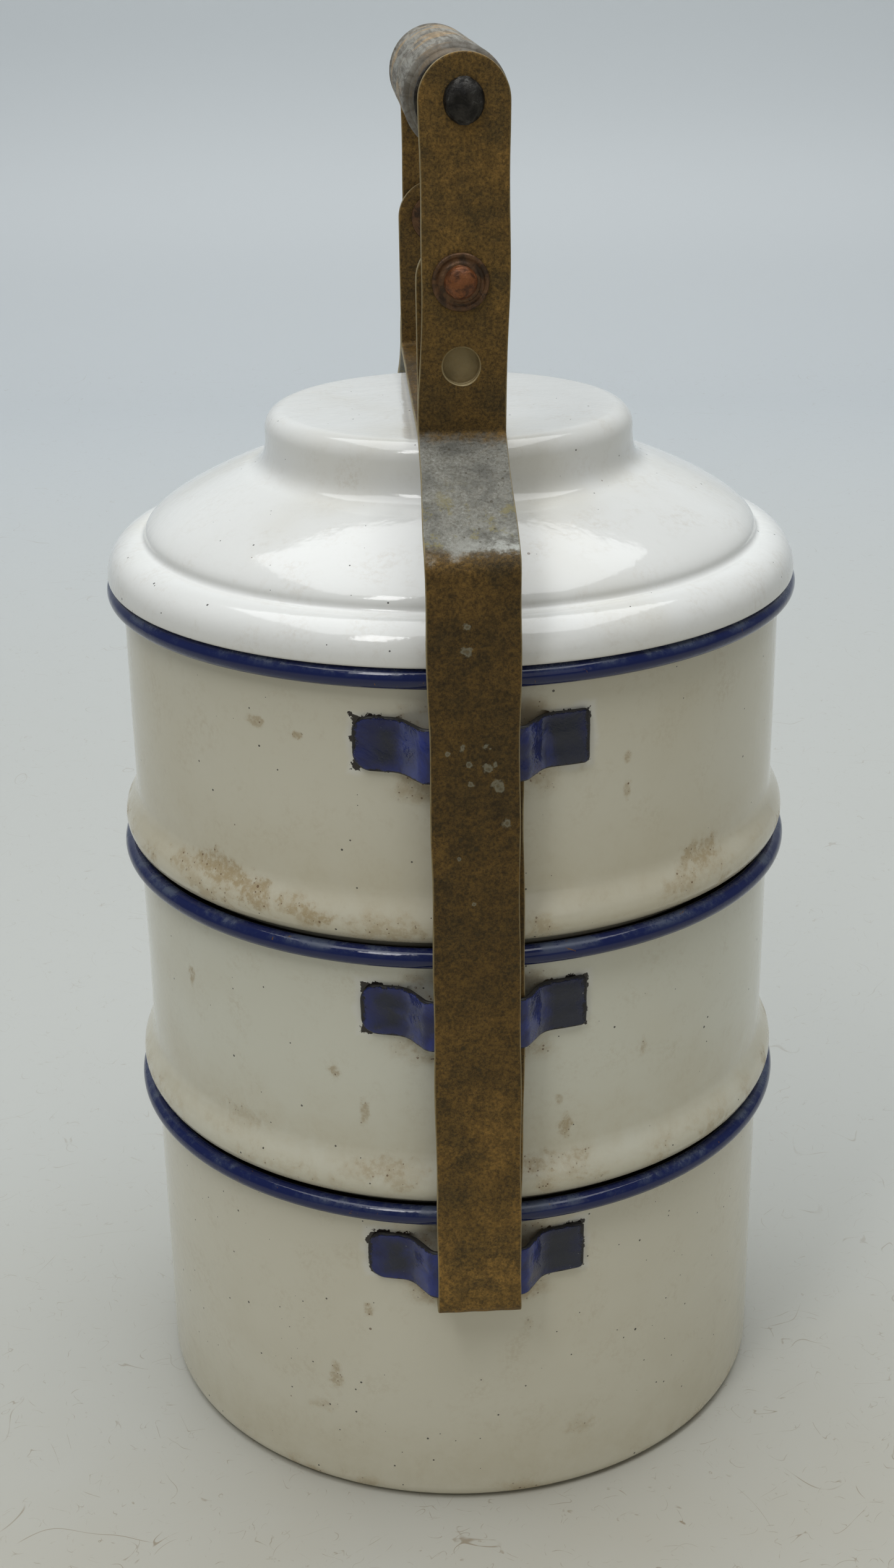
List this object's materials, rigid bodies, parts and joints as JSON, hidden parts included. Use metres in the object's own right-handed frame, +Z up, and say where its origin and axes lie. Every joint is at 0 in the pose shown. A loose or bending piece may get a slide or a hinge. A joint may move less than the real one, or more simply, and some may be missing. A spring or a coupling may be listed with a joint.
{
  "type": "tiffin carrier",
  "caption": "Enamelled food carrier with stacked round bowls, a domed lid, a brass strap frame with a swinging lid yoke and a turned wooden grip.",
  "frame": {"origin": "centre of the bottom bowl's base, on the surface it stands on", "axes": "+Z up through the bowls, +Y along the grip away from the front strap, +X to the right when facing the front strap"},
  "size_m": [0.168, 0.1792, 0.3433],
  "materials": {
    "white_enamel": "gloss",
    "blue_enamel": "gloss",
    "aged_brass": "satin",
    "copper": "satin",
    "dark_steel": "satin",
    "turned_wood": "matte"
  },
  "bodies": {
    "base": {"bottom_bowl": "white_enamel", "bottom_front_lug": "blue_enamel", "bottom_back_lug": "blue_enamel"},
    "middle_tier": {"middle_bowl": "white_enamel", "middle_front_lug": "blue_enamel", "middle_back_lug": "blue_enamel"},
    "top_tier": {"top_bowl": "white_enamel", "top_front_lug": "blue_enamel", "top_back_lug": "blue_enamel"},
    "lid": {"lid": "white_enamel"},
    "frame": {"front_strap": "aged_brass", "back_strap": "aged_brass", "pivot_rivets": "copper", "pivot_washers": "copper", "grip_rod": "dark_steel", "grip_collars": "dark_steel"},
    "yoke": {"yoke": "aged_brass"},
    "grip": {"grip": "turned_wood"}
  },
  "joints": [
    {"name": "frame_lift", "type": "slide", "parent": "base", "child": "frame", "axis": [0, 0, 1], "range_m": [0, 0.0015]},
    {"name": "yoke_swing", "type": "hinge", "parent": "frame", "child": "yoke", "pos_m": [0, 0, 0.296], "axis": [0, -1, 0], "range_deg": [0, 140]},
    {"name": "grip_spin", "type": "hinge", "parent": "frame", "child": "grip", "pos_m": [0, 0, 0.332], "axis": [0, 1, 0], "continuous": true},
    {"name": "middle_lift", "type": "slide", "parent": "base", "child": "middle_tier", "axis": [0, 0, 1], "range_m": [0, 0.0027]},
    {"name": "top_lift", "type": "slide", "parent": "base", "child": "top_tier", "axis": [0, 0, 1], "range_m": [0, 0.0054]},
    {"name": "lid_lift", "type": "slide", "parent": "base", "child": "lid", "axis": [0, 0, 1], "range_m": [0, 0.0088]}
  ],
  "couplings": [
    {"joint": "yoke_swing", "follows": "lid_lift", "rad_per_m": 277},
    {"joint": "middle_lift", "follows": "lid_lift", "ratio": 0.3056},
    {"joint": "top_lift", "follows": "lid_lift", "ratio": 0.6111}
  ]
}
